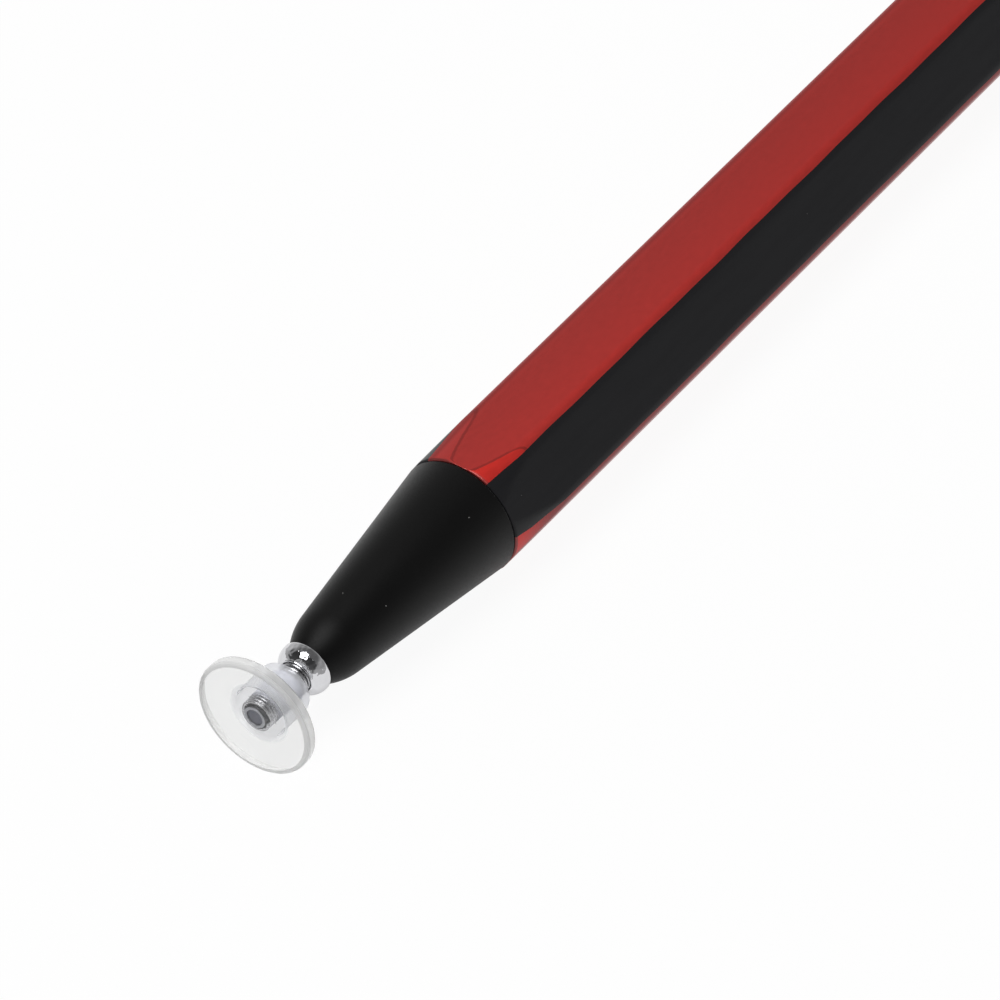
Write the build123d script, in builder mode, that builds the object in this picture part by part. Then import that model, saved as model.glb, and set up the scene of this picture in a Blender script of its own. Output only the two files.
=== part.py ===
from build123d import *
import math
import os

# Disc-tip stylus pen: a six-sided barrel with red film on every second face, a turned nose cone, and a clear
# touch disc that tilts on a coil spring neck. Millimetres, +Z up. The pen lies along X on its lower flat with
# its tip towards -X. The origin is under the middle of its length, on the surface that it lies on.

# Barrel
across_flats = 8.0
corner_radius = 1.1
barrel_length = 110.0
barrel_bore = 5.3
barrel_end_diameter = 8.14
barrel_taper_length = 4.8
barrel_edge_chamfer = 0.14
film_thickness = 0.1

# Nose cone
nose_length = 15.72
nose_back_diameter = 7.94
nose_taper_front_diameter = 4.08
nose_mouth_diameter = 2.6
nose_round_length = 2.5
nose_edge_chamfer = 0.05
nose_mouth_wall = 2.4

# Joint between nose cone and barrel
joint_gap = 0.08
coupler_nose_diameter = 5.0
coupler_nose_length = 5.0
coupler_flange_diameter = 7.0
coupler_barrel_length = 8.0
coupler_bore = 2.4
bush_diameter = 3.0

# Chrome bead that screws into the nose cone
bead_length = 1.15
bead_diameter = 3.5
bead_front_diameter = 2.3
bead_rim_width = 0.12
shank_diameter = 1.8
shank_length = 7.0

# Spring neck
neck_length = 0.75
spring_diameter = 2.1
wire_diameter = 0.24
spring_turns = 6.5
socket_depth = 0.7

# Touch disc
disc_diameter = 8.0
disc_thickness = 0.8
disc_rim_rounding = 0.2
disc_web = 0.2
hub_diameter = 3.56
hub_length = 2.7
hub_back_rounding = 0.4
hub_root_rounding = 0.3
pin_length = 1.6

# End cap
cap_length = 7.0
cap_front_diameter = 7.8
cap_back_diameter = 7.0
cap_rounding = 1.6
cap_spigot_length = 9.0

# Fits and small edges
thread_fit = 0.02
shank_clearance = 0.05
spring_fit = 0.03
pin_fit = 0.03
lead_chamfer = 0.2
overrun = 1.0

# Counts, facings in degrees and shares
hexagon_sides = 6
quarters_per_turn = 4
quarter_turn = 2 * math.pi / quarters_per_turn
arcs_per_quarter = 2
samples_per_arc = 4
strip_facings = {"red_strip_top": 90, "red_strip_near": 210, "red_strip_far": 330}
strip_low_edge = -35
strip_high_edge = 30
radius_match_share = 1e-6

# Places along the pen, from the tip to the tail
overall_length = (
    disc_thickness
    + hub_length
    + neck_length
    + bead_length
    + nose_length
    + joint_gap
    + barrel_length
    + cap_length
)
disc_front_x = -overall_length / 2
disc_back_x = disc_front_x + disc_thickness
hub_back_x = disc_back_x + hub_length
bead_front_x = hub_back_x + neck_length
mouth_x = bead_front_x + bead_length
nose_back_x = mouth_x + nose_length
barrel_front_x = nose_back_x + joint_gap
barrel_back_x = barrel_front_x + barrel_length
cap_back_x = barrel_back_x + cap_length
bore_floor_x = disc_front_x + disc_web
socket_floor_x = bead_front_x + socket_depth
shank_back_x = mouth_x + shank_length
bush_front_x = mouth_x + nose_mouth_wall
bush_back_x = nose_back_x - coupler_nose_length

# Every turned piece is drawn in the upright plane through the pen's axis and turned about that axis.
axis_height = across_flats / 2
pen_axis = Axis((0, 0, axis_height), (1, 0, 0))
side_plane = Plane(origin=(0, 0, axis_height), x_dir=(1, 0, 0), z_dir=(0, -1, 0))
barrel_plane = Plane(origin=(barrel_front_x, 0, axis_height), x_dir=(0, 1, 0), z_dir=(1, 0, 0))

os.makedirs("parts", exist_ok=True)


def save(piece, name):
    """Labels a finished piece and writes it under its own name."""
    piece.label = name
    export_step(piece, f"parts/{name}.step")


def rings(form, diameter):
    """The circular edges of a turned form that have one diameter, from the tip to the tail."""
    circles = form.edges().filter_by(GeomType.CIRCLE)
    matching = circles.filter_by(
        lambda edge: math.isclose(2 * edge.radius, diameter, rel_tol=radius_match_share)
    )
    return matching.sort_by(Axis.X)


# Clear touch disc: a thin round plate with a short hub on its back, bored from behind for the spring.
spring_bore_radius = spring_diameter / 2 + spring_fit
with BuildPart() as tip_disc:
    with BuildSketch(side_plane):
        with BuildLine():
            Polyline(
                (disc_front_x, 0),
                (disc_front_x, disc_diameter / 2),
                (disc_back_x, disc_diameter / 2),
                (disc_back_x, hub_diameter / 2),
                (hub_back_x, hub_diameter / 2),
                (hub_back_x, spring_bore_radius),
                (bore_floor_x, spring_bore_radius),
                (bore_floor_x, 0),
                close=True,
            )
        make_face()
    revolve(axis=pen_axis)
    fillet(rings(tip_disc, disc_diameter), radius=disc_rim_rounding)
    fillet(rings(tip_disc, hub_diameter).first, radius=hub_root_rounding)
    fillet(rings(tip_disc, hub_diameter).last, radius=hub_back_rounding)
save(tip_disc.part, "tip_disc")

# Contact pin: a short steel plug inside the front coils, against the floor of the disc's bore.
pin_radius = spring_diameter / 2 - wire_diameter - pin_fit
with BuildPart() as contact_pin:
    with BuildSketch(side_plane):
        with BuildLine():
            Polyline(
                (bore_floor_x, 0),
                (bore_floor_x, pin_radius - lead_chamfer),
                (bore_floor_x + lead_chamfer, pin_radius),
                (bore_floor_x + pin_length, pin_radius),
                (bore_floor_x + pin_length, 0),
                close=True,
            )
        make_face()
    revolve(axis=pen_axis)
save(contact_pin.part, "contact_pin")

# Spring neck: one wire wound from the disc's bore, across the open neck, into the bead's socket.
coil_radius = (spring_diameter - wire_diameter) / 2
coil_front_x = bore_floor_x + wire_diameter / 2 + spring_fit
coil_back_x = socket_floor_x - wire_diameter / 2 - spring_fit
coil_quarters = round(quarters_per_turn * spring_turns)
coil_pitch = quarters_per_turn * (coil_back_x - coil_front_x) / coil_quarters


def coil_point(angle):
    """The wire's centre after an angle in radians, wound from the front end."""
    along = coil_front_x + coil_pitch * angle / (2 * math.pi)
    return Vector(along, coil_radius * math.cos(angle), axis_height + coil_radius * math.sin(angle))


def coil_heading(angle):
    """The wire's direction there."""
    rise = coil_pitch / (2 * math.pi)
    return Vector(rise, -coil_radius * math.sin(angle), coil_radius * math.cos(angle)).normalized()


def biarc(start, start_heading, end, end_heading):
    """Draws two arcs that leave start and reach end along the given headings, and meet smoothly."""
    chord = end - start
    both = start_heading + end_heading
    square = 2 * (start_heading.dot(end_heading) - 1)
    linear = 2 * chord.dot(both)
    reach = (linear - math.sqrt(linear**2 - 4 * square * chord.dot(chord))) / (2 * square)
    first_corner = start + start_heading * reach
    second_corner = end - end_heading * reach
    middle = (first_corner + second_corner) / 2
    TangentArc(start, middle, tangent=start_heading)
    TangentArc(middle, end, tangent=second_corner - first_corner)


with BuildPart() as tip_spring:
    with BuildLine() as coil:
        for quarter in range(coil_quarters):
            here = quarter * quarter_turn
            there = here + quarter_turn
            biarc(coil_point(here), coil_heading(here), coil_point(there), coil_heading(there))
    with BuildSketch(Plane(origin=coil_point(0), z_dir=coil_heading(0))):
        Circle(wire_diameter / 2)
    sweep(path=coil.line)
save(tip_spring.part, "tip_spring")

# The least gap between turns, measured on points of the wire's centre line at least half a turn apart.
wire_points = [
    arc.position_at(step / samples_per_arc) for arc in coil.edges() for step in range(samples_per_arc)
]
half_turn_points = quarters_per_turn * arcs_per_quarter * samples_per_arc // 2
least_spacing = min(
    (wire_points[late] - wire_points[early]).length
    for early in range(len(wire_points))
    for late in range(early + half_turn_points, len(wire_points))
)
print(f"spring: {spring_turns} turns, least gap to itself {least_spacing - wire_diameter:.3f} mm")

# Chrome bead: a dome with a socket for the spring in front and a threaded shank behind.
with BuildPart() as nib_bead:
    with BuildSketch(side_plane):
        with BuildLine():
            rim_front = (mouth_x - bead_rim_width, bead_diameter / 2)
            dome_front = (bead_front_x, bead_front_diameter / 2)
            TangentArc(rim_front, dome_front, tangent=(-1, 0))
            Polyline(
                dome_front,
                (bead_front_x, spring_bore_radius),
                (socket_floor_x, spring_bore_radius),
                (socket_floor_x, 0),
                (shank_back_x, 0),
                (shank_back_x, shank_diameter / 2 - lead_chamfer),
                (shank_back_x - lead_chamfer, shank_diameter / 2),
                (mouth_x, shank_diameter / 2),
                (mouth_x, bead_diameter / 2),
                rim_front,
            )
        make_face()
    revolve(axis=pen_axis)
save(nib_bead.part, "nib_bead")

# Brass bush: the threaded insert that holds the shank and passes the charge on to the coupler.
with BuildPart() as nose_bush:
    with BuildSketch(side_plane):
        with BuildLine():
            Polyline(
                (bush_front_x, shank_diameter / 2 + thread_fit),
                (bush_front_x, bush_diameter / 2 - lead_chamfer),
                (bush_front_x + lead_chamfer, bush_diameter / 2),
                (bush_back_x, bush_diameter / 2),
                (bush_back_x, shank_diameter / 2 + thread_fit),
                close=True,
            )
        make_face()
    revolve(axis=pen_axis)
save(nose_bush.part, "nose_bush")

# Nose cone: a straight taper that rounds in to the mouth, bored in steps from behind.
nose_slope = (nose_back_diameter - nose_taper_front_diameter) / 2 / nose_length
nose_round_radius = nose_taper_front_diameter / 2 + nose_slope * nose_round_length
with BuildPart() as nose_cone:
    with BuildSketch(side_plane):
        with BuildLine():
            round_start = (mouth_x + nose_round_length, nose_round_radius)
            lip = (mouth_x, nose_mouth_diameter / 2)
            TangentArc(round_start, lip, tangent=(-1, -nose_slope))
            Polyline(
                lip,
                (mouth_x, shank_diameter / 2 + shank_clearance),
                (bush_front_x, shank_diameter / 2 + shank_clearance),
                (bush_front_x, bush_diameter / 2 + thread_fit),
                (bush_back_x, bush_diameter / 2 + thread_fit),
                (bush_back_x, coupler_nose_diameter / 2 + thread_fit),
                (nose_back_x, coupler_nose_diameter / 2 + thread_fit),
                (nose_back_x, nose_back_diameter / 2 - nose_edge_chamfer),
                (nose_back_x - nose_edge_chamfer, nose_back_diameter / 2 - nose_slope * nose_edge_chamfer),
                round_start,
            )
        make_face()
    revolve(axis=pen_axis)
save(nose_cone.part, "nose_cone")

# Front coupler: a threaded sleeve that joins nose and barrel, with a thin flange that leaves a shadow line.
coupler_back_x = barrel_front_x + coupler_barrel_length
coupler_barrel_radius = barrel_bore / 2 - thread_fit
with BuildPart() as front_coupler:
    with BuildSketch(side_plane):
        with BuildLine():
            Polyline(
                (bush_back_x, coupler_bore / 2),
                (bush_back_x, coupler_nose_diameter / 2 - lead_chamfer),
                (bush_back_x + lead_chamfer, coupler_nose_diameter / 2),
                (nose_back_x, coupler_nose_diameter / 2),
                (nose_back_x, coupler_flange_diameter / 2),
                (barrel_front_x, coupler_flange_diameter / 2),
                (barrel_front_x, coupler_barrel_radius),
                (coupler_back_x - lead_chamfer, coupler_barrel_radius),
                (coupler_back_x, coupler_barrel_radius - lead_chamfer),
                (coupler_back_x, coupler_bore / 2),
                close=True,
            )
        make_face()
    revolve(axis=pen_axis)
save(front_coupler.part, "front_coupler")

# The barrel's outside: a rounded hexagon, turned down at both ends so that its corners run out to a circle.
corner_reach = (across_flats / 2 - corner_radius) / math.cos(math.pi / hexagon_sides) + corner_radius
taper_slope = (corner_reach - barrel_end_diameter / 2) / barrel_taper_length
turning_radius = corner_reach + overrun
turning_length = (turning_radius - barrel_end_diameter / 2) / taper_slope


def turned_hexagon(inset):
    """The barrel's solid outside, taken in on every side by an inset."""
    end_radius = barrel_end_diameter / 2 - inset
    edge_radius = end_radius + taper_slope * barrel_edge_chamfer
    with BuildPart() as form:
        with BuildSketch(barrel_plane) as section:
            RegularPolygon(across_flats / 2 - inset, hexagon_sides, major_radius=False)
            fillet(section.vertices(), radius=corner_radius - inset)
        extrude(amount=barrel_length)
        with BuildSketch(side_plane):
            with BuildLine():
                Polyline(
                    (barrel_front_x, 0),
                    (barrel_front_x, end_radius - barrel_edge_chamfer),
                    (barrel_front_x + barrel_edge_chamfer, edge_radius),
                    (barrel_front_x + turning_length, turning_radius - inset),
                    (barrel_back_x - turning_length, turning_radius - inset),
                    (barrel_back_x - barrel_edge_chamfer, edge_radius),
                    (barrel_back_x, end_radius - barrel_edge_chamfer),
                    (barrel_back_x, 0),
                    close=True,
                )
            make_face()
        revolve(axis=pen_axis, mode=Mode.INTERSECT)
    return form.part


barrel_form = turned_hexagon(0)
film_floor = turned_hexagon(film_thickness)

# Red film: one thin strip on every second face, from past the middle of one corner to the middle of the next.
sector_reach = turning_radius + overrun
sector_low = sector_reach * math.tan(math.radians(strip_low_edge))
sector_high = sector_reach * math.tan(math.radians(strip_high_edge))
red_strips = []
for strip_name, facing in strip_facings.items():
    with BuildPart() as red_strip:
        add(barrel_form)
        add(film_floor, mode=Mode.SUBTRACT)
        with BuildSketch(barrel_plane):
            Polygon(
                (0, 0),
                (sector_reach, sector_low),
                (sector_reach, sector_high),
                rotation=facing,
                align=None,
            )
        extrude(amount=barrel_length, mode=Mode.INTERSECT)
    save(red_strip.part, strip_name)
    red_strips.append(red_strip.part)

# Barrel: the black tube under and between the strips.
with BuildPart() as barrel:
    add(barrel_form)
    for strip_part in red_strips:
        add(strip_part, mode=Mode.SUBTRACT)
    with BuildSketch(barrel_plane):
        Circle(barrel_bore / 2)
    extrude(amount=barrel_length, mode=Mode.SUBTRACT)
save(barrel.part, "barrel")

# End cap: a round plug with a spigot that presses into the barrel's bore.
spigot_front_x = barrel_back_x - cap_spigot_length
spigot_radius = barrel_bore / 2 - thread_fit
with BuildPart() as end_cap:
    with BuildSketch(side_plane):
        with BuildLine():
            Polyline(
                (spigot_front_x, 0),
                (spigot_front_x, spigot_radius - lead_chamfer),
                (spigot_front_x + lead_chamfer, spigot_radius),
                (barrel_back_x, spigot_radius),
                (barrel_back_x, cap_front_diameter / 2),
                (cap_back_x, cap_back_diameter / 2),
                (cap_back_x, 0),
                close=True,
            )
        make_face()
    revolve(axis=pen_axis)
    fillet(rings(end_cap, cap_back_diameter), radius=cap_rounding)
save(end_cap.part, "end_cap")
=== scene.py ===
import math

import bmesh
import bpy
from mathutils import Matrix, Vector


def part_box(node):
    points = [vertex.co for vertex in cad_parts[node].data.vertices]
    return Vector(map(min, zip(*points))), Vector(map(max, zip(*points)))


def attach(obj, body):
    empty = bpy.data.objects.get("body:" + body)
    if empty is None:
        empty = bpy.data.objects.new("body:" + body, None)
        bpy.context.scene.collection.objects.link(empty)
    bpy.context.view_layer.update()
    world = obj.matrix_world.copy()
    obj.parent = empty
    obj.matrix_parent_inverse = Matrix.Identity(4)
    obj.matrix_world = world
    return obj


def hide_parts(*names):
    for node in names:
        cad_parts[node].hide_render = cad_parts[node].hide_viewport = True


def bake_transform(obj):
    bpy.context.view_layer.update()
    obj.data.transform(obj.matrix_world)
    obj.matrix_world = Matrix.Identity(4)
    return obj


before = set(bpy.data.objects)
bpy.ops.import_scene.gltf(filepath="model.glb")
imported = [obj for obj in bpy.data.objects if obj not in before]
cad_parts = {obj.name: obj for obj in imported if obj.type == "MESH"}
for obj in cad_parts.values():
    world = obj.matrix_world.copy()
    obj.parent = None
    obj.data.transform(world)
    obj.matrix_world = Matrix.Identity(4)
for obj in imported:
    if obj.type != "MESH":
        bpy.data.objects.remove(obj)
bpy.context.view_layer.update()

# Looks of a stylus pen with a clear touch disc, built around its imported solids. Metres, +Z up. The pen lies
# along X with its tip towards -X. Sizes in millimetres are written times MM.
MM = 0.001

# Places along the pen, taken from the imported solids
disc_low, disc_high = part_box("tip_disc")
pin_low, pin_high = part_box("contact_pin")
spring_low, spring_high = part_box("tip_spring")
bead_low, bead_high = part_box("nib_bead")
nose_low, nose_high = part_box("nose_cone")
barrel_low, barrel_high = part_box("barrel")
cap_low, cap_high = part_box("end_cap")
axis_height = (disc_low.z + disc_high.z) / 2
disc_front = disc_low.x
hub_back = disc_high.x
bead_front = bead_low.x
shank_back = bead_high.x
mouth = nose_low.x
nose_back = nose_high.x
barrel_front = barrel_low.x
barrel_back = barrel_high.x
cap_back = cap_high.x
neck_middle = (hub_back + bead_front) / 2

# Touch disc, its hub and the glue in its bore
disc_radius = (disc_high.z - disc_low.z) / 2
disc_thickness = 0.8 * MM
disc_rim_rounding = 0.2 * MM
frosted_width = 0.32 * MM
rim_wall_depth = 0.1 * MM
hub_radius = 1.78 * MM
hub_back_rounding = 0.4 * MM
hub_root_rounding = 0.3 * MM
hub_mouth_rounding = 0.12 * MM
spring_bore = 1.08 * MM
bore_floor_gap = 0.02 * MM
glue_clear_length = 0.85 * MM
glue_milky_length = 1.7 * MM
face_ring_radius = 1.86 * MM
face_ring_width = 0.26 * MM
face_ring_depth = 0.02 * MM

# Contact pin
pin_radius = (pin_high.z - pin_low.z) / 2
pin_edge = 0.045 * MM
pin_recess_radius = 0.57 * MM
pin_recess_depth = 0.12 * MM
pin_recess_draft = 0.04 * MM
pin_shade_fade = 0.03 * MM

# Spring, in two stretches that meet at a whole quarter of a turn
spring_radius = (spring_high.z - spring_low.z) / 2
wire_radius = 0.122 * MM
wire_sides = 12
coil_turns = 14.5
coil_start = math.radians(180)
coil_steps_per_turn = 40
turn_quarters = 4

# Chrome bead
bead_radius = (bead_high.z - bead_low.z) / 2
bead_front_radius = 1.15 * MM
bead_rim_width = 0.12 * MM
bead_lip_rounding = 0.05 * MM
bead_back_chamfer = 0.03 * MM
socket_depth = 0.7 * MM
shank_radius = 0.9 * MM

# Nose cone and end cap
nose_back_radius = 4.0 * MM
nose_taper_front_radius = 2.04 * MM
nose_mouth_radius = 1.3 * MM
nose_round_length = 2.5 * MM
nose_edge_rounding = 0.05 * MM
nose_bore = 2.52 * MM
nose_bore_depth = 5.0 * MM
shank_clearance = 0.05 * MM
cap_front_radius = (cap_high.z - cap_low.z) / 2
cap_back_radius = 3.5 * MM
cap_rounding = 1.6 * MM
cap_front_chamfer = 0.06 * MM
cap_spigot_radius = 2.63 * MM

# Barrel: a hexagon with rounded corners, whose faces are counted from the top one
face_count = 6
face_degrees = 60
top_facing = 90
half_face = math.radians(face_degrees) / 2
flat_distance = 4.0 * MM
corner_radius = 1.1 * MM
corner_inset = flat_distance - corner_radius
corner_centre = corner_inset / math.cos(half_face)
corner_tangent = math.atan2(corner_inset * math.tan(half_face), flat_distance)
flat_steps = 24
corner_steps = 8
barrel_bore = 2.65 * MM
barrel_end_radius = 4.07 * MM
barrel_edge_rounding = 0.11 * MM
barrel_edge_steps = 4
barrel_taper_length = 4.8 * MM
taper_margin = 1.15
taper_steps = 48
short_taper_length = 3.5 * MM
short_taper_facing = math.radians(126)
short_taper_narrowness = 4
crease_softness = 0.035 * MM
plain_spacing = 0.8 * MM

# Film edges. An overlap is past the middle of a corner, in degrees: along the barrel, at the nose, and how
# far the nose's reaches in millimetres. A wave has a height, a length in millimetres and a shift from corner
# to corner.
film_thickness = 0.1 * MM
film_clearance = 0.01 * MM
film_wander = 0.016 * MM
film_overlaps = [
    (7.2, 5.7, 3.0),
    (-1.0, 1.6, 3.0),
    (2.0, 5.0, 1.4),
    (0, 0, 3.0),
    (5.0, 5.0, 3.0),
    (0, 0, 3.0),
]
film_waves = [(1.0, 1.9, 2.1), (0.7, 0.83, 4.7), (0.6, 5.3, 1.0)]

# How each strip of film looks: the way its face looks in degrees, its gloss, the share of painted light that
# its shaded side keeps, darker on the near strip, and how far from the joint and how much at either edge a
# painted highlight brightens it where the taper draws it
strips = {
    "red_strip_top": {
        "facing": 90, "coat": 0.22, "painted_light_level": 1.0, "drawn_highlight_length": 9.0 * MM, "drawn_highlight_shares": (0.0, 0.6)
    },
    "red_strip_near": {
        "facing": 210, "coat": 0.5, "painted_light_level": 0.35, "drawn_highlight_length": 3.6 * MM, "drawn_highlight_shares": (0.45, 0.45)
    },
    "red_strip_far": {
        "facing": 330, "coat": 0.22, "painted_light_level": 1.0, "drawn_highlight_length": 9.0 * MM, "drawn_highlight_shares": (0.0, 0.6)
    },
}

# Colours of the film, most of them painted light and shade: its shaded and lit sides, painted highlights
# along one edge and over the taper, and painted shade along the other edge, the taper's crease and the cut
# end. And where they lie: off the middle of a face, and by how much the film tilts towards the nose
shaded_side_reds = ((0.58, 0.063, 0.055), (0.62, 0.066, 0.058))
lit_side_reds = ((0.66, 0.061, 0.052), (0.70, 0.064, 0.055))
edge_highlight_red = (0.78, 0.064, 0.054)
shaded_edge_red = (0.2, 0.022, 0.018)
drawn_highlight_red = (0.95, 0.035, 0.024)
crease_shade_red = (0.1, 0.02, 0.018)
cut_shade_red = (0.2, 0.045, 0.042)
film_half_width = 2.0 * MM
edge_highlight_start = 1.5 * MM
shaded_edge_start = 1.75 * MM
shaded_edge_end = 2.2 * MM
shaded_edge_share = 0.55
drawn_highlight_tilts_in = (0.045, 0.07)
drawn_highlight_tilts_out = (0.09, 0.2)
crease_shade_tilts_in = (0.006, 0.025)
crease_shade_tilts_out = (0.045, 0.065)
crease_shade_share = 0.38
cut_shade_tilts = (0.1, 0.25)
cut_shade_share = 0.75

# Shading: the plain crease in degrees, a distance that counts as on the axis, and the part of a cloudy
# pattern's range that its values mostly fill
plain_crease = 35
on_axis = 1e-9
noise_range = (0.3, 0.7)

# Camera: the photograph's viewing angle, with the joint between nose and barrel at its place in the frame
photo_size = 1000
joint_pixel = (459.69, 516.50)
focal_pixels = 8828
camera_distance = 528.47 * MM
camera_elevation = math.radians(42.9)
camera_heading = math.radians(34.7)
sensor_width = 36.0


# Shapes
def arc(centre, radius, start, end, steps):
    """Points of a circle's arc in the (along, out) plane, from one angle in degrees to another."""
    angles = [math.radians(start + (end - start) * step / steps) for step in range(steps + 1)]
    return [(centre[0] + radius * math.cos(a), centre[1] + radius * math.sin(a)) for a in angles]


def tangent_arc(start, heading, end, steps):
    """Points of the arc that leaves start along a heading and reaches end."""
    start, heading, end = Vector(start), Vector(heading).normalized(), Vector(end)
    chord = end - start
    side = Vector((-heading.y, heading.x))
    radius = chord.length_squared / (2 * chord.dot(side))
    centre = start + side * radius
    turn = 2 * math.atan2(chord.dot(side), chord.dot(heading))
    spoke = start - centre
    points = []
    for step in range(steps + 1):
        angle = turn * step / steps
        turned = Matrix.Rotation(angle, 2) @ spoke
        points.append(tuple(centre + turned))
    return points


def finished_object(name, vertices, faces, crease=plain_crease):
    """A smooth-shaded object with outward faces, with edges sharper than the crease kept crisp."""
    mesh = bpy.data.meshes.new(name)
    mesh.from_pydata(vertices, [], faces)
    shape = bmesh.new()
    shape.from_mesh(mesh)
    bmesh.ops.recalc_face_normals(shape, faces=shape.faces)
    shape.to_mesh(mesh)
    shape.free()
    mesh.shade_smooth()
    mesh.set_sharp_from_angle(angle=math.radians(crease))
    piece = bpy.data.objects.new(name, mesh)
    bpy.context.scene.collection.objects.link(piece)
    return piece


def skin(loop_count, count, closed=False):
    """Faces between loops of points that follow each other, and from the last to the first if closed."""
    faces = []
    for step in range(loop_count if closed else loop_count - 1):
        here, there = step * count, (step + 1) % loop_count * count
        for index in range(count):
            beside = (index + 1) % count
            faces.append([here + index, here + beside, there + beside, there + index])
    return faces


def lathe(name, outline, around, crease=plain_crease):
    """A turned piece about the pen's axis from an outline of (along, out) points.
    An outline that starts and ends on the axis is solid, and any other is closed as a ring."""
    vertices = []
    rings = []
    for along, out in outline:
        if out < on_axis:
            rings.append([len(vertices)])
            vertices.append((along, 0, axis_height))
            continue
        rings.append(list(range(len(vertices), len(vertices) + around)))
        for spoke in range(around):
            angle = 2 * math.pi * spoke / around
            vertices.append((along, out * math.cos(angle), axis_height + out * math.sin(angle)))
    pairs = list(zip(rings, rings[1:]))
    if len(rings[0]) > 1:
        pairs.append((rings[-1], rings[0]))
    faces = []
    for ring, following in pairs:
        for spoke in range(around):
            beside = (spoke + 1) % around
            corners = [
                ring[spoke % len(ring)],
                ring[beside % len(ring)],
                following[beside % len(following)],
                following[spoke % len(following)],
            ]
            corners = list(dict.fromkeys(corners))
            if len(corners) > 2:
                faces.append(corners)
    return finished_object(name, vertices, faces, crease)


# Materials
def new_material(name):
    """A material with its node tree and its Principled shader."""
    material = bpy.data.materials.new(name)
    material.use_nodes = True
    return material, material.node_tree, material.node_tree.nodes["Principled BSDF"]


def grey(level):
    """A neutral colour."""
    return (level, level, level)


def pattern(tree, kind, size, stretch=(1, 1, 1), **settings):
    """A procedural texture on object coordinates, with features of about that size in metres."""
    place = tree.nodes.new("ShaderNodeTexCoord")
    mapping = tree.nodes.new("ShaderNodeMapping")
    mapping.inputs["Scale"].default_value = [1 / (size * s) for s in stretch]
    texture = tree.nodes.new(kind)
    texture.inputs["Scale"].default_value = 1
    for socket, value in settings.items():
        texture.inputs[socket].default_value = value
    tree.links.new(place.outputs["Object"], mapping.inputs["Vector"])
    tree.links.new(mapping.outputs["Vector"], texture.inputs["Vector"])
    return texture


def noise(tree, size, stretch=(1, 1, 1), **settings):
    """The value of a cloudy pattern."""
    return pattern(tree, "ShaderNodeTexNoise", size, stretch, **settings).outputs["Fac"]


def ranged(tree, socket, low, high, to_low, to_high):
    """Maps a value's range to another, clamped and smooth."""
    node = tree.nodes.new("ShaderNodeMapRange")
    node.interpolation_type = "SMOOTHSTEP"
    for index, value in zip((1, 2, 3, 4), (low, high, to_low, to_high)):
        node.inputs[index].default_value = value
    tree.links.new(socket, node.inputs[0])
    return node.outputs[0]


def mixed_colour(tree, factor, first, second):
    """A mix of two colours by a factor. Each colour is a tuple or a socket."""
    node = tree.nodes.new("ShaderNodeMix")
    node.data_type = "RGBA"
    tree.links.new(factor, node.inputs["Factor"])
    for name, colour in (("A", first), ("B", second)):
        socket = next(s for s in node.inputs if s.name == name and s.type == "RGBA")
        if isinstance(colour, tuple):
            socket.default_value = (*colour, 1)
        else:
            tree.links.new(colour, socket)
    return next(s for s in node.outputs if s.type == "RGBA")


def calculated(tree, operation, first, second):
    """A sum, product or the like of two values. Each is a number or a socket."""
    node = tree.nodes.new("ShaderNodeMath")
    node.operation = operation
    for socket, value in zip(node.inputs, (first, second)):
        if isinstance(value, (int, float)):
            socket.default_value = value
        else:
            tree.links.new(value, socket)
    return node.outputs[0]


def measured_along(tree, vector, direction):
    """How far a vector reaches along a fixed direction."""
    node = tree.nodes.new("ShaderNodeVectorMath")
    node.operation = "DOT_PRODUCT"
    node.inputs[1].default_value = Vector(direction).normalized()
    tree.links.new(vector, node.inputs[0])
    return node.outputs["Value"]


def off_axis(tree):
    """The distance from the pen's axis."""
    place = tree.nodes.new("ShaderNodeTexCoord")
    centred = tree.nodes.new("ShaderNodeVectorMath")
    centred.operation = "SUBTRACT"
    centred.inputs[1].default_value = (0, 0, axis_height)
    across = tree.nodes.new("ShaderNodeVectorMath")
    across.operation = "MULTIPLY"
    across.inputs[1].default_value = (0, 1, 1)
    length = tree.nodes.new("ShaderNodeVectorMath")
    length.operation = "LENGTH"
    tree.links.new(place.outputs["Object"], centred.inputs[0])
    tree.links.new(centred.outputs["Vector"], across.inputs[0])
    tree.links.new(across.outputs["Vector"], length.inputs[0])
    return length.outputs["Value"]


def roughened(tree, shader, value, roughness):
    """Roughness between two levels that follows a cloudy pattern."""
    rough = ranged(tree, value, *noise_range, *roughness)
    tree.links.new(rough, shader.inputs["Roughness"])


def raised(tree, shader, height, depth):
    """Bump on a shader from a height pattern, with its depth in metres."""
    node = tree.nodes.new("ShaderNodeBump")
    node.inputs["Strength"].default_value = 1.0
    node.inputs["Distance"].default_value = depth
    tree.links.new(height, node.inputs["Height"])
    tree.links.new(node.outputs["Normal"], shader.inputs["Normal"])


def mixed_surface(tree, factor, first, second):
    """Shows a mix of two shaders' outputs as the surface."""
    mix = tree.nodes.new("ShaderNodeMixShader")
    tree.links.new(factor, mix.inputs["Fac"])
    tree.links.new(first, mix.inputs[1])
    tree.links.new(second, mix.inputs[2])
    tree.links.new(mix.outputs["Shader"], tree.nodes["Material Output"].inputs["Surface"])


def lets_lamps_through(tree, shader):
    """Lets a clear shader pass the light of lamps, a little dimmed."""
    path = tree.nodes.new("ShaderNodeLightPath")
    passing = tree.nodes.new("ShaderNodeBsdfTransparent")
    passing.inputs["Color"].default_value = (*grey(0.9), 1)
    mixed_surface(tree, path.outputs["Is Shadow Ray"], shader.outputs["BSDF"], passing.outputs["BSDF"])


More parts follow.
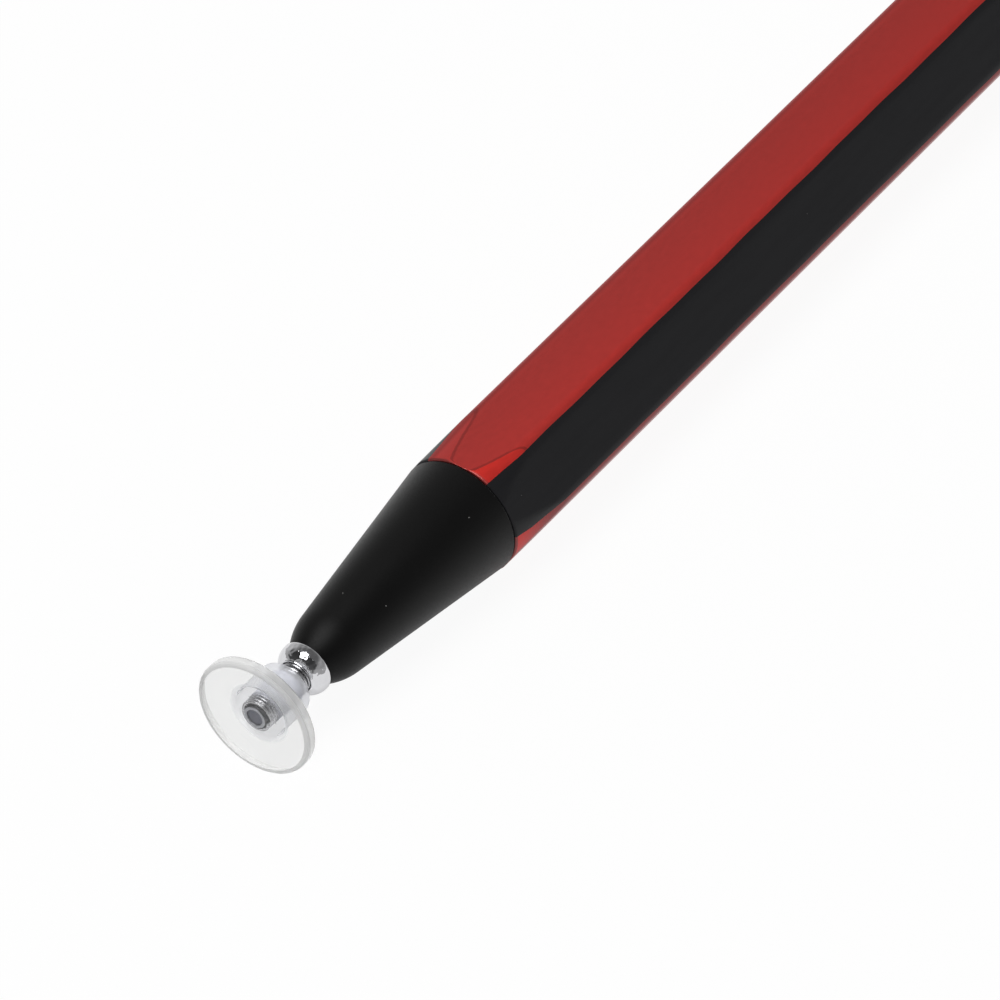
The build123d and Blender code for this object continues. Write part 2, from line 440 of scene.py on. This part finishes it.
def plastic(name, clearness, roughness, dark, light, cloud_size, bending=1.12):
    """Soft clear plastic with faint clouds: how clear it is, how rough, its two tints and its index."""
    material, tree, shader = new_material(name)
    shader.inputs["Transmission Weight"].default_value = clearness
    shader.inputs["IOR"].default_value = bending
    cloud = noise(tree, size=cloud_size, Detail=3.0)
    tree.links.new(mixed_colour(tree, cloud, dark, light), shader.inputs["Base Color"])
    haze = noise(tree, size=0.35 * MM, Detail=4.0)
    roughened(tree, shader, haze, roughness)
    lets_lamps_through(tree, shader)
    return material


def glue(clear_end, milky_end):
    """Glue that fills the bore round the coil: clear at the front, where it bends light no more than the
    plastic does, and milky from one place along the pen to another."""
    dark, light = (0.46, 0.47, 0.52), (0.52, 0.53, 0.57)
    clear_alpha, milky_alpha = 0.03, 0.9
    material, tree, shader = new_material("clear_glue")
    haze = noise(tree, size=0.3 * MM, Detail=2.0)
    tree.links.new(mixed_colour(tree, haze, dark, light), shader.inputs["Base Color"])
    place = tree.nodes.new("ShaderNodeTexCoord")
    along = measured_along(tree, place.outputs["Object"], (1, 0, 0))
    alpha = ranged(tree, along, clear_end, milky_end, clear_alpha, milky_alpha)
    tree.links.new(alpha, shader.inputs["Alpha"])
    return material


def metal(name, dark, light, roughness, grain, stretch=(1, 1, 1), depth=0.001 * MM, detail=4.0):
    """A metal whose colour and roughness vary with a fine grain."""
    material, tree, shader = new_material(name)
    shader.inputs["Metallic"].default_value = 1.0
    uneven = noise(tree, grain, stretch, Detail=detail, Roughness=0.6)
    tree.links.new(mixed_colour(tree, uneven, dark, light), shader.inputs["Base Color"])
    roughened(tree, shader, uneven, roughness)
    raised(tree, shader, uneven, depth)
    return material


def dust(tree, cell, share, radius):
    """A mask of scattered round specks: one in some cells of a grid, as a share of the cells."""
    choice_step = 0.001
    core_share = 0.6
    cells = pattern(tree, "ShaderNodeTexVoronoi", cell)
    chosen = ranged(tree, cells.outputs["Color"], 1 - share, 1 - share + choice_step, 0, 1)
    near = ranged(tree, cells.outputs["Distance"], radius / cell * core_share, radius / cell, 1, 0)
    return calculated(tree, "MULTIPLY", chosen, near)


def matte_black():
    """Matte black moulded plastic with a fine sandy grain, pale at its edges, and a few specks of dust."""
    dark, light = grey(0.0012), grey(0.0025)
    speck_colour = (0.4, 0.4, 0.39)
    material, tree, shader = new_material("matte_black")
    body = mixed_colour(tree, noise(tree, size=3.0 * MM, Detail=3.0), dark, light)
    specks = dust(tree, cell=1.1 * MM, share=0.7, radius=0.04 * MM)
    tree.links.new(mixed_colour(tree, specks, body, speck_colour), shader.inputs["Base Color"])
    grain = noise(tree, size=0.07 * MM, Detail=2.0)
    roughened(tree, shader, grain, roughness=(0.42, 0.54))
    shader.inputs["IOR"].default_value = 1.24
    shader.inputs["Sheen Weight"].default_value = 0.2
    shader.inputs["Sheen Roughness"].default_value = 0.35
    raised(tree, shader, grain, depth=0.006 * MM)
    return material


def gloss_black():
    """Gloss black lacquer with a faint orange peel, long wiping marks and a few specks of dust."""
    dark, light = (0.0125, 0.0125, 0.0138), (0.0155, 0.0155, 0.017)
    speck_colour = grey(0.2)
    material, tree, shader = new_material("gloss_black")
    marks = noise(tree, size=0.5 * MM, stretch=(12, 1, 1), Detail=3.0)
    body = mixed_colour(tree, marks, dark, light)
    specks = dust(tree, cell=1.6 * MM, share=0.7, radius=0.03 * MM)
    tree.links.new(mixed_colour(tree, specks, body, speck_colour), shader.inputs["Base Color"])
    roughened(tree, shader, marks, roughness=(0.18, 0.22))
    shader.inputs["IOR"].default_value = 1.22
    peel = noise(tree, size=1.1 * MM, stretch=(2.5, 1, 1), Detail=1.0)
    raised(tree, shader, peel, depth=0.004 * MM)
    return material


def red_film(facing, coat, painted_light_level, drawn_highlight_length, drawn_highlight_shares):
    """Metallic red film on one face of the barrel, with light and shade painted into its colour: lighter
    towards one edge of the face, with a painted highlight along that edge and where it is drawn over the
    taper at the nose, and painted shade at the other edge, along the taper's crease and at its cut front end."""
    material, tree, shader = new_material(f"red_film_{facing}")
    place = tree.nodes.new("ShaderNodeTexCoord")
    angle = math.radians(facing - top_facing)
    across = measured_along(tree, place.outputs["Object"], (0, math.cos(angle), math.sin(angle)))
    along = measured_along(tree, place.outputs["Object"], (1, 0, 0))
    tilt = measured_along(tree, place.outputs["Normal"], (-1, 0, 0))
    middle = axis_height * math.sin(angle)
    # Painted light: the film's colour runs from its shaded side to its lit side across the face
    side = ranged(tree, across, middle + film_half_width, middle - film_half_width, 0, 1)
    # Painted highlight: a brighter red band along the edge of the lit side, where the corner's rounding
    # catches light
    edge = ranged(tree, across, middle - edge_highlight_start, middle - film_half_width, 0, 1)
    # Painted shade: the edge on the other side, turned away from the light, is darkened towards a deep red
    shaded_edge_band = (middle + shaded_edge_start, middle + shaded_edge_end)
    turned = ranged(tree, across, *shaded_edge_band, 0, shaded_edge_share)
    # Painted highlight: the film is brightened where it tilts over the taper near the joint
    drawn = ranged(tree, tilt, *drawn_highlight_tilts_in, 0, 1)
    for share in (
        ranged(tree, tilt, *drawn_highlight_tilts_out, 1, 0),
        ranged(tree, along, barrel_front, barrel_front + drawn_highlight_length, 1, 0),
        ranged(tree, side, 0, 1, *drawn_highlight_shares),
    ):
        drawn = calculated(tree, "MULTIPLY", drawn, share)
    # Painted shade: a dark line where the film turns from the flat onto the taper
    crease = ranged(tree, tilt, *crease_shade_tilts_in, 0, crease_shade_share)
    crease = calculated(tree, "MULTIPLY", crease, ranged(tree, tilt, *crease_shade_tilts_out, 1, 0))
    # Painted shade: the film's rounded front edge is darkened so that it shows less of the lamp's highlight
    cut = ranged(tree, tilt, *cut_shade_tilts, 0, cut_shade_share)
    flakes = noise(tree, size=0.25 * MM, stretch=(3, 1, 1), Detail=5.0, Roughness=0.7)
    # Painted shade: the shaded side's reds are scaled down by the strip's painted light level
    dull = mixed_colour(tree, flakes, *[tuple(c * painted_light_level for c in red) for red in shaded_side_reds])
    bright = mixed_colour(tree, flakes, *lit_side_reds)
    colour = mixed_colour(tree, side, dull, bright)
    for factor, red in (
        (edge, edge_highlight_red),
        (turned, shaded_edge_red),
        (drawn, drawn_highlight_red),
        (crease, crease_shade_red),
        (cut, cut_shade_red),
    ):
        colour = mixed_colour(tree, factor, colour, red)
    tree.links.new(colour, shader.inputs["Base Color"])
    shader.inputs["Metallic"].default_value = 0.9
    roughened(tree, shader, flakes, roughness=(0.44, 0.49))
    shader.inputs["Specular Tint"].default_value = (0.8, 0.42, 0.44, 1)
    shader.inputs["Coat Weight"].default_value = coat
    shader.inputs["Coat Roughness"].default_value = 0.1
    peel = noise(tree, size=1.4 * MM, stretch=(2.5, 1, 1), Detail=1.0)
    raised(tree, shader, peel, depth=0.006 * MM)
    return material


# Pieces of the tip
def make_tip_disc():
    """The clear disc with its rounded rim, the ring on its face and the hub with its bore. The plastic is
    clear in the disc, frosted at the front of the rim, greyer on its wall and milky in the hub. The bore's
    wall is the glue round the coil."""
    back = disc_front + disc_thickness
    rim = disc_radius - disc_rim_rounding
    frosted = disc_radius - frosted_width
    ring_in = face_ring_radius - face_ring_width / 2
    ring_out = face_ring_radius + face_ring_width / 2
    ring_floor = disc_front + face_ring_depth
    bore_floor = min(pin_low.x, spring_low.x) - bore_floor_gap
    outline = [(disc_front, 0), (disc_front, ring_in)]
    outline += [(ring_floor, ring_in + face_ring_depth), (ring_floor, ring_out - face_ring_depth)]
    outline += [(disc_front, ring_out), (disc_front, frosted)]
    outline += arc((disc_front + disc_rim_rounding, rim), disc_rim_rounding, 180, 90, steps=8)
    outline += arc((back - disc_rim_rounding, rim), disc_rim_rounding, 90, 0, steps=8)
    root = (back + hub_root_rounding, hub_radius + hub_root_rounding)
    outline += arc(root, hub_root_rounding, 180, 270, steps=8)
    end = (hub_back - hub_back_rounding, hub_radius - hub_back_rounding)
    outline += arc(end, hub_back_rounding, 90, 0, steps=8)
    lip = (hub_back - hub_mouth_rounding, spring_bore + hub_mouth_rounding)
    outline += arc(lip, hub_mouth_rounding, 0, -90, steps=5)
    outline += [(bore_floor, spring_bore), (bore_floor, 0)]
    piece = lathe("clear_disc", outline, around=192)
    clear = plastic(
        "clear_plastic",
        clearness=0.9,
        roughness=(0.03, 0.06),
        dark=(0.87, 0.875, 0.875),
        light=(0.9, 0.9, 0.895),
        cloud_size=1.2 * MM,
    )
    frost = plastic(
        "frosted_plastic",
        clearness=0.3,
        roughness=(0.3, 0.4),
        dark=(0.65, 0.65, 0.65),
        light=(0.7, 0.7, 0.695),
        cloud_size=0.5 * MM,
    )
    wall = plastic(
        "wall_plastic",
        clearness=0.5,
        roughness=(0.04, 0.07),
        dark=(0.77, 0.77, 0.765),
        light=(0.82, 0.82, 0.815),
        cloud_size=0.8 * MM,
    )
    milky = plastic(
        "milky_plastic",
        clearness=0.72,
        roughness=(0.28, 0.36),
        dark=(0.81, 0.815, 0.84),
        light=(0.85, 0.855, 0.875),
        cloud_size=1.2 * MM,
        bending=1.05,
    )
    filling = glue(bore_floor + glue_clear_length, bore_floor + glue_milky_length)
    zones = (clear, frost, wall, milky, filling)
    for material in zones:
        piece.data.materials.append(material)
    for face in piece.data.polygons:
        along = face.center.x
        out = math.hypot(face.center.y, face.center.z - axis_height)
        if out > frosted and along < disc_front + disc_rim_rounding:
            face.material_index = zones.index(frost)
        elif out > disc_radius - rim_wall_depth:
            face.material_index = zones.index(wall)
        elif along > bore_floor - bore_floor_gap / 2 and out < spring_bore:
            face.material_index = zones.index(filling)
        elif along > back:
            face.material_index = zones.index(milky)
    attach(piece, "tip")
    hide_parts("tip_disc")


def make_contact_pin():
    """The steel plug inside the front coils: a bright ring on its face, with painted shade in its turned
    recess and at its outer edge, where it meets the coil.
    """
    recess_shade_grey = (0.09, 0.092, 0.122)
    rim_shade_grey = (0.06, 0.06, 0.068)
    front, back = pin_low.x, pin_high.x
    floor = front + pin_recess_depth
    ring = pin_radius - pin_edge
    outline = [(floor, 0), (floor, pin_recess_radius - pin_recess_draft), (front, pin_recess_radius)]
    outline += [(front, ring), (front + pin_edge, pin_radius), (back, pin_radius), (back, 0)]
    piece = lathe("contact_plug", outline, around=64)
    material = metal(
        "plug_steel",
        dark=(0.3, 0.305, 0.33),
        light=(0.38, 0.385, 0.41),
        roughness=(0.28, 0.4),
        grain=0.2 * MM,
    )
    tree = material.node_tree
    shader = tree.nodes["Principled BSDF"]
    colour = shader.inputs["Base Color"].links[0].from_socket
    out = off_axis(tree)
    # Painted shade: darker in the recess, and at the rim where shade falls between plug and coil
    recess_shade = ranged(tree, out, pin_recess_radius, pin_recess_radius - pin_shade_fade, 0, 1)
    colour = mixed_colour(tree, recess_shade, colour, recess_shade_grey)
    outer = ranged(tree, out, ring, ring + pin_shade_fade, 0, 1)
    colour = mixed_colour(tree, outer, colour, rim_shade_grey)
    tree.links.new(colour, shader.inputs["Base Color"])
    piece.data.materials.append(material)
    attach(piece, "tip")
    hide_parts("contact_pin")


def coil(name, first_turn, last_turn, material):
    """A stretch of the close-wound wire, as one tube with flat ends."""
    start = spring_low.x + wire_radius
    pitch = (spring_high.x - spring_low.x - 2 * wire_radius) / coil_turns
    middle_radius = spring_radius - wire_radius
    steps = round((last_turn - first_turn) * coil_steps_per_turn)
    vertices = []
    for step in range(steps + 1):
        turn = first_turn + (last_turn - first_turn) * step / steps
        angle = coil_start + 2 * math.pi * turn
        outward = Vector((0, math.cos(angle), math.sin(angle)))
        heading = Vector((pitch, -2 * math.pi * middle_radius * outward.z, 0))
        heading.z = 2 * math.pi * middle_radius * outward.y
        sideways = heading.normalized().cross(outward)
        centre = Vector((start + pitch * turn, 0, axis_height)) + outward * middle_radius
        for side in range(wire_sides):
            around = 2 * math.pi * side / wire_sides
            spoke = outward * math.cos(around) + sideways * math.sin(around)
            vertices.append(centre + spoke * wire_radius)
    faces = skin(steps + 1, wire_sides)
    faces.append(list(range(wire_sides)))
    faces.append([steps * wire_sides + side for side in range(wire_sides)])
    piece = finished_object(name, vertices, faces, crease=60)
    piece.data.materials.append(material)
    return piece


def make_spring():
    """The neck's spring in two stretches that meet in the middle of the open neck."""
    wire = metal(
        "spring_steel",
        dark=(0.44, 0.44, 0.455),
        light=(0.54, 0.54, 0.555),
        roughness=(0.2, 0.3),
        grain=0.4 * MM,
    )
    share = (neck_middle - spring_low.x) / (spring_high.x - spring_low.x)
    middle_turn = round(coil_turns * share * turn_quarters) / turn_quarters
    front = coil("spring_front", 0, middle_turn, wire)
    back = coil("spring_back", middle_turn, coil_turns, wire)
    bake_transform(front)
    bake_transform(back)
    for piece in (front, back):
        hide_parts("tip_spring")


def make_bead():
    """The chrome bead: a slightly dented dome with a bored front, on a plain shank."""
    rim_front = (mouth - bead_rim_width, bead_radius)
    dome_end = (bead_front + bead_lip_rounding, bead_front_radius + bead_lip_rounding)
    outline = [(shank_back, 0), (shank_back, shank_radius), (mouth, shank_radius)]
    outline += [(mouth, bead_radius - bead_back_chamfer), (mouth - bead_back_chamfer, bead_radius)]
    outline += tangent_arc(rim_front, (-1, 0), dome_end, steps=24)
    outline += arc((dome_end[0], bead_front_radius), bead_lip_rounding, 90, 180, steps=4)[1:]
    lip = (bead_front + bead_lip_rounding, spring_bore + bead_lip_rounding)
    outline += arc(lip, bead_lip_rounding, 180, 270, steps=4)
    outline += [(bead_front + socket_depth, spring_bore), (bead_front + socket_depth, 0)]
    piece = lathe("chrome_bead", outline, around=192, crease=50)
    chrome = metal(
        "chrome",
        dark=(0.66, 0.66, 0.68),
        light=(0.76, 0.76, 0.78),
        roughness=(0.05, 0.1),
        grain=0.5 * MM,
        depth=0.08 * MM,
        detail=1.2,
    )
    piece.data.materials.append(chrome)
    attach(piece, "pen")
    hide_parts("nib_bead")


# Pieces of the body
def make_nose_cone(black):
    """The matte cone: a straight taper that rounds in to the mouth, with a softened back edge."""
    slope = (nose_back_radius - nose_taper_front_radius) / (nose_back - mouth)
    round_start = (mouth + nose_round_length, nose_taper_front_radius + slope * nose_round_length)
    edge = (nose_back - nose_edge_rounding, nose_back_radius - nose_edge_rounding)
    shank_bore = shank_radius + shank_clearance
    bore_floor = nose_back - nose_bore_depth
    outline = [(bore_floor, shank_bore), (bore_floor, nose_bore), (nose_back, nose_bore)]
    outline += arc(edge, nose_edge_rounding, 0, 90, steps=6)
    outline += tangent_arc(round_start, (-1, -slope), (mouth, nose_mouth_radius), steps=24)
    outline += [(mouth, shank_bore)]
    piece = lathe("nose_taper", outline, around=192)
    piece.data.materials.append(black)
    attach(piece, "pen")
    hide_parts("nose_cone")


def make_end_cap(black):
    """The plug at the tail, with a softly rounded end."""
    front = barrel_back
    rounding_end = (cap_back - cap_rounding, cap_back_radius - cap_rounding)
    outline = [(cap_low.x, 0), (cap_low.x, cap_spigot_radius), (front, cap_spigot_radius)]
    outline += [(front, cap_front_radius - cap_front_chamfer), (front + cap_front_chamfer, cap_front_radius)]
    outline += arc(rounding_end, cap_rounding, 90, 0, steps=16)
    outline += [(cap_back, 0)]
    piece = lathe("tail_cap", outline, around=160)
    piece.data.materials.append(black)
    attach(piece, "pen")
    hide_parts("end_cap")


def hexagon_reach(angle):
    """The rounded hexagon's distance from the axis, at an angle from the middle of a face."""
    if abs(angle) <= corner_tangent:
        return flat_distance / math.cos(angle)
    off_corner = half_face - abs(angle)
    rounding = math.sqrt(corner_radius**2 - (corner_centre * math.sin(off_corner)) ** 2)
    return corner_centre * math.cos(off_corner) + rounding


def barrel_reach(along, angle, facing):
    """The barrel's distance from the axis: the hexagon, turned down softly to a cone at both ends. The
    cone is a little shorter on one side."""
    from_end = min(along - barrel_front, barrel_back - along)
    corner = hexagon_reach(half_face)
    shortness = max(0, math.cos(facing - short_taper_facing)) ** short_taper_narrowness
    taper = barrel_taper_length + (short_taper_length - barrel_taper_length) * shortness
    cone = barrel_end_radius + (corner - barrel_end_radius) * from_end / taper
    if from_end < barrel_edge_rounding:
        short = barrel_edge_rounding - from_end
        cone -= barrel_edge_rounding - math.sqrt(barrel_edge_rounding**2 - short**2)
    hexagon = hexagon_reach(angle)
    near = min(max(0.5 + 0.5 * (cone - hexagon) / crease_softness, 0), 1)
    return cone + (hexagon - cone) * near - crease_softness * near * (1 - near)


def film_edge(along, corner):
    """The angle of a film edge from the middle of its corner there: a slight wander, less its overlap."""
    wave = 0
    for height, length, shift in film_waves:
        wave += height * math.sin(along / MM / length + corner * shift)
    plain, at_nose, nose_reach = film_overlaps[corner]
    nearness = max(0, 1 - (along - barrel_front) / (nose_reach * MM))
    overlap = math.radians(plain + (at_nose - plain) * nearness)
    return wave * film_wander / hexagon_reach(half_face) - overlap


def barrel_stations():
    """Places along the barrel, close together where its shape changes."""
    edge = [
        barrel_edge_rounding * (1 - math.cos(math.pi / 2 * step / barrel_edge_steps))
        for step in range(barrel_edge_steps + 1)
    ]
    reach = barrel_taper_length * taper_margin
    taper = [
        barrel_edge_rounding + (reach - barrel_edge_rounding) * step / taper_steps
        for step in range(1, taper_steps + 1)
    ]
    ends = edge + taper
    plain_length = barrel_back - barrel_front - 2 * reach
    plain_steps = round(plain_length / plain_spacing)
    front = [barrel_front + e for e in ends]
    plain = [front[-1] + plain_length * step / plain_steps for step in range(1, plain_steps)]
    back = [barrel_back - e for e in reversed(ends)]
    return front + plain + back


def face_angles(along, face):
    """Angles across a face, from one film edge to the next, close together at its corners."""
    corner_width = half_face - corner_tangent
    flat = [-corner_tangent + 2 * corner_tangent * step / flat_steps for step in range(flat_steps + 1)]
    corner = [corner_tangent + corner_width * step / corner_steps for step in range(1, corner_steps + 1)]
    angles = [-a for a in reversed(corner)] + flat + corner
    low, high = film_edge(along, face), film_edge(along, (face + 1) % face_count)
    moved = []
    for angle in angles:
        share = max(0, (abs(angle) - corner_tangent) / corner_width)
        moved.append(angle + share * (low if angle < 0 else high))
    return moved


def on_section(along, facing, angle, inset=0.0):
    """A point of the barrel's outside, at an angle from the middle of the face that looks along facing."""
    wrapped = (angle + half_face) % (2 * half_face) - half_face
    turn = facing + angle
    reach = barrel_reach(along, wrapped, turn) - inset
    return (along, reach * math.cos(turn), axis_height + reach * math.sin(turn))


def shell(name, loops):
    """A thin closed shell through loops of points, each an outer line and an inner one back. The first and
    last loops are filled between their two lines."""
    count = len(loops[0])
    vertices = [point for loop in loops for point in loop]
    faces = skin(len(loops), count)
    for start in (0, (len(loops) - 1) * count):
        end = start + count - 1
        for index in range(count // 2 - 1):
            faces.append([start + index, start + index + 1, end - 1 - index, end - index])
    return finished_object(name, vertices, faces)


def make_strips():
    """The three strips of red film, each a thin shell that follows its face and the corners beside it."""
    for node, look in strips.items():
        face = round((look["facing"] - top_facing) / face_degrees) % face_count
        turn = math.radians(look["facing"])
        loops = []
        for along in barrel_stations():
            angles = face_angles(along, face)
            outer = [on_section(along, turn, angle) for angle in angles]
            inner = [on_section(along, turn, angle, film_thickness) for angle in reversed(angles)]
            loops.append(outer + inner)
        piece = shell(f"film_{node}", loops)
        piece.data.materials.append(red_film(**look))
        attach(piece, "pen")
        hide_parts(node)


def make_barrel():
    """The black tube, cut back under the film, with its bore."""
    loops = []
    for along in barrel_stations():
        loop = []
        for face in range(face_count):
            facing = math.radians(top_facing + face_degrees * face)
            inset = film_thickness + film_clearance if face % 2 == 0 else 0
            loop += [on_section(along, facing, angle, inset) for angle in face_angles(along, face)]
        loops.append(loop)
    bore = []
    for point in loops[0]:
        angle = math.atan2(point[2] - axis_height, point[1])
        bore.append((barrel_bore * math.cos(angle), axis_height + barrel_bore * math.sin(angle)))
    for along in (barrel_back, barrel_front):
        loops.append([(along, y, z) for y, z in bore])
    vertices = [point for loop in loops for point in loop]
    faces = skin(len(loops), len(bore), closed=True)
    piece = finished_object("black_tube", vertices, faces)
    piece.data.materials.append(gloss_black())
    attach(piece, "pen")
    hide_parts("barrel")


def dress_brass():
    """Brass for the hidden bush, and near-black brass for the coupler, whose thin flange shows at the joint:
    its darkness is painted shade for the gap there.
    """
    turned = {"grain": 0.2 * MM, "stretch": (1, 4, 4)}
    brass = metal(
        "brass", dark=(0.5, 0.36, 0.14), light=(0.68, 0.5, 0.22), roughness=(0.25, 0.4), **turned
    )
    # Painted shade: the coupler's flange is near-black so that the joint reads as a shadowed gap
    gap_shade_brass = metal(
        "gap_shade_brass", dark=(0.03, 0.026, 0.02), light=(0.06, 0.05, 0.036), roughness=(0.4, 0.55), **turned
    )
    for node, material in (("nose_bush", brass), ("front_coupler", gap_shade_brass)):
        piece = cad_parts[node]
        piece.data.materials.clear()
        piece.data.materials.append(material)


# Studio
def make_floor():
    """A plain white floor that keeps a soft shadow."""
    half_size = 8.0
    glow_share = 0.94
    mirrored_share = 0.62
    corners = [
        (-half_size, -half_size, 0),
        (half_size, -half_size, 0),
        (half_size, half_size, 0),
        (-half_size, half_size, 0),
    ]
    mesh = bpy.data.meshes.new("floor")
    mesh.from_pydata(corners, [], [[0, 1, 2, 3]])
    floor = bpy.data.objects.new("floor", mesh)
    bpy.context.scene.collection.objects.link(floor)
    material, tree, shader = new_material("floor_white")
    shader.inputs["Base Color"].default_value = (*grey(0.9), 1)
    shader.inputs["Roughness"].default_value = 0.9
    shader.inputs["Specular IOR Level"].default_value = 0.0
    glow = tree.nodes.new("ShaderNodeEmission")
    glow.inputs["Strength"].default_value = 1.0
    path = tree.nodes.new("ShaderNodeLightPath")
    mirrored = calculated(tree, "MULTIPLY", path.outputs["Is Glossy Ray"], mirrored_share)
    seen = calculated(tree, "MAXIMUM", path.outputs["Is Camera Ray"], mirrored)
    seen = calculated(tree, "MAXIMUM", seen, path.outputs["Is Transmission Ray"])
    glowing = calculated(tree, "MULTIPLY", seen, glow_share)
    mixed_surface(tree, glowing, shader.outputs["BSDF"], glow.outputs["Emission"])
    floor.data.materials.append(material)


def make_lamp(name, direction, distance, size, power):
    """A soft lamp that looks at the joint from a direction, with its first side along the pen."""
    lamp = bpy.data.lights.new(name, "AREA")
    lamp.shape = "ELLIPSE"
    lamp.size, lamp.size_y = size
    lamp.energy = power
    holder = bpy.data.objects.new(name, lamp)
    aim = Vector((nose_back, 0, axis_height))
    away = Vector(direction).normalized()
    across = away.cross(Vector((1, 0, 0))).normalized()
    holder.location = aim + away * distance
    holder.rotation_mode = "QUATERNION"
    holder.rotation_quaternion = Matrix((across.cross(away), across, away)).transposed().to_quaternion()
    bpy.context.scene.collection.objects.link(holder)


def make_world():
    """A dim room: dark overhead and in two patches before the pen, and brighter low down and behind it. A
    patch has a direction, where it starts and is full as cosines, and the share of light that it leaves."""
    overhead, behind = (0, 0, 1), (0.5, 0.75, 0.3)
    low_height, top_height = 0.1, 0.95
    low_light, top_light = 0.42, 0.12
    behind_start, behind_full, behind_light = 0.7, 0.98, 0.18
    dark_patches = [((-0.6, -0.42, 0.68), 0.82, 0.93, 0.3), ((-0.55, 0.52, 0.65), 0.88, 0.95, 0.2)]
    world = bpy.data.worlds.new("studio")
    bpy.context.scene.world = world
    world.use_nodes = True
    tree = world.node_tree
    background = tree.nodes["Background"]
    place = tree.nodes.new("ShaderNodeTexCoord")
    direction = place.outputs["Generated"]
    height = measured_along(tree, direction, overhead)
    walls = ranged(tree, height, low_height, top_height, low_light, top_light)
    backward = measured_along(tree, direction, behind)
    glow = ranged(tree, backward, behind_start, behind_full, 0, behind_light)
    room = calculated(tree, "ADD", walls, glow)
    for towards, start, full, left_share in dark_patches:
        nearness = measured_along(tree, direction, towards)
        room = calculated(tree, "MULTIPLY", room, ranged(tree, nearness, start, full, 1, left_share))
    tree.links.new(room, background.inputs["Color"])
    background.inputs["Strength"].default_value = 1.0


def make_camera():
    """A long lens that looks down on the pen's front from its near side."""
    level = Vector((math.cos(camera_heading), math.sin(camera_heading), 0))
    forward = level * math.cos(camera_elevation) - Vector((0, 0, math.sin(camera_elevation)))
    right = forward.cross(Vector((0, 0, 1))).normalized()
    up = right.cross(forward)
    data = bpy.data.cameras.new("camera")
    data.sensor_width = sensor_width
    data.lens = sensor_width * focal_pixels / photo_size
    data.clip_start = 0.01
    camera = bpy.data.objects.new("camera", data)
    joint = Vector((nose_back, 0, axis_height))
    across = (joint_pixel[0] - photo_size / 2) / focal_pixels * camera_distance
    below = (joint_pixel[1] - photo_size / 2) / focal_pixels * camera_distance
    camera.location = joint - right * across + up * below - forward * camera_distance
    camera.rotation_mode = "QUATERNION"
    camera.rotation_quaternion = Matrix((right, up, -forward)).transposed().to_quaternion()
    bpy.context.scene.collection.objects.link(camera)
    bpy.context.scene.camera = camera


make_tip_disc()
make_contact_pin()
make_spring()
make_bead()
black_plastic = matte_black()
make_nose_cone(black_plastic)
make_end_cap(black_plastic)
make_strips()
make_barrel()
dress_brass()
make_floor()
make_lamp("overhead_lamp", direction=(-0.25, 0.12, 0.96), distance=0.6, size=(0.5, 0.5), power=3.3)
make_world()
make_camera()
bpy.context.scene.view_settings.view_transform = "Standard"
